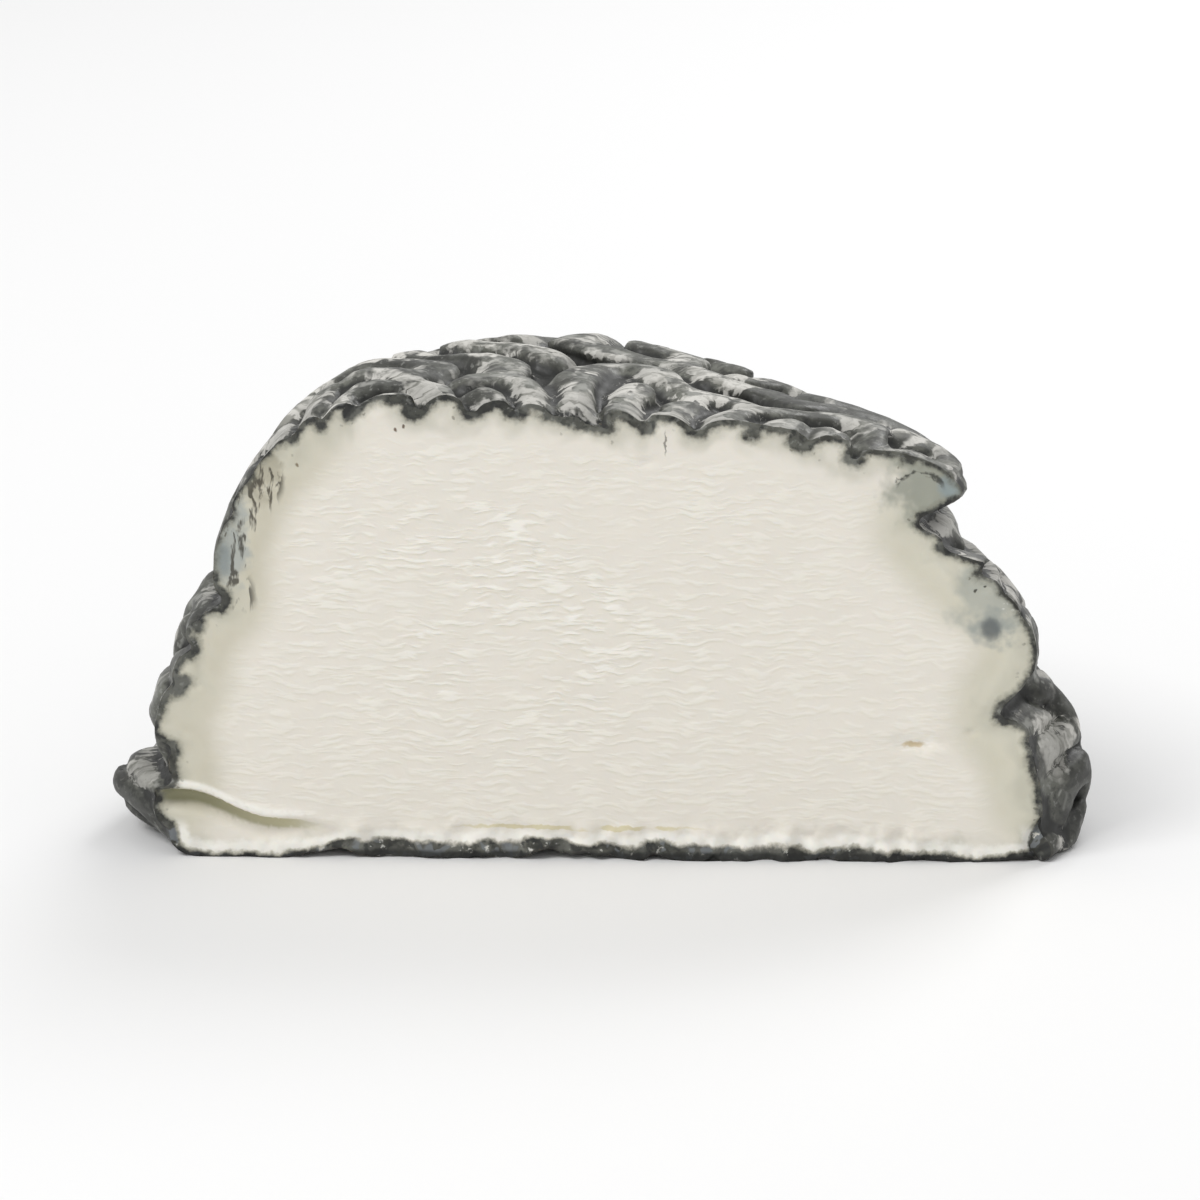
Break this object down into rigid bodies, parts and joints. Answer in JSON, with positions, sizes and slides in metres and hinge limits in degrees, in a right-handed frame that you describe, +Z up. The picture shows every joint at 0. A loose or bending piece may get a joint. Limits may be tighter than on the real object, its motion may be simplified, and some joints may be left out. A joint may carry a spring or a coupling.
{
  "type": "cheese wheel half",
  "caption": "Upright half of a small ash-ripened soft goat's cheese wheel, a slumped truncated cone with a folded charcoal rind and a flat cut face.",
  "frame": {"origin": "middle of the half's footprint, on the surface it stands on", "axes": "+Z up; +X along the cut face, from the taller, gently sloping flank to the lower, steeper one; the cut face looks along -Y and the round back along +Y"},
  "size_m": [0.0912, 0.0494, 0.0439],
  "materials": {
    "ash_rind_cheese": "matte charcoal ash rind with pale mould bloom outside, ivory paste on the cut face"
  },
  "bodies": {
    "root": {"cheese_half": "ash_rind_cheese"}
  },
  "joints": []
}
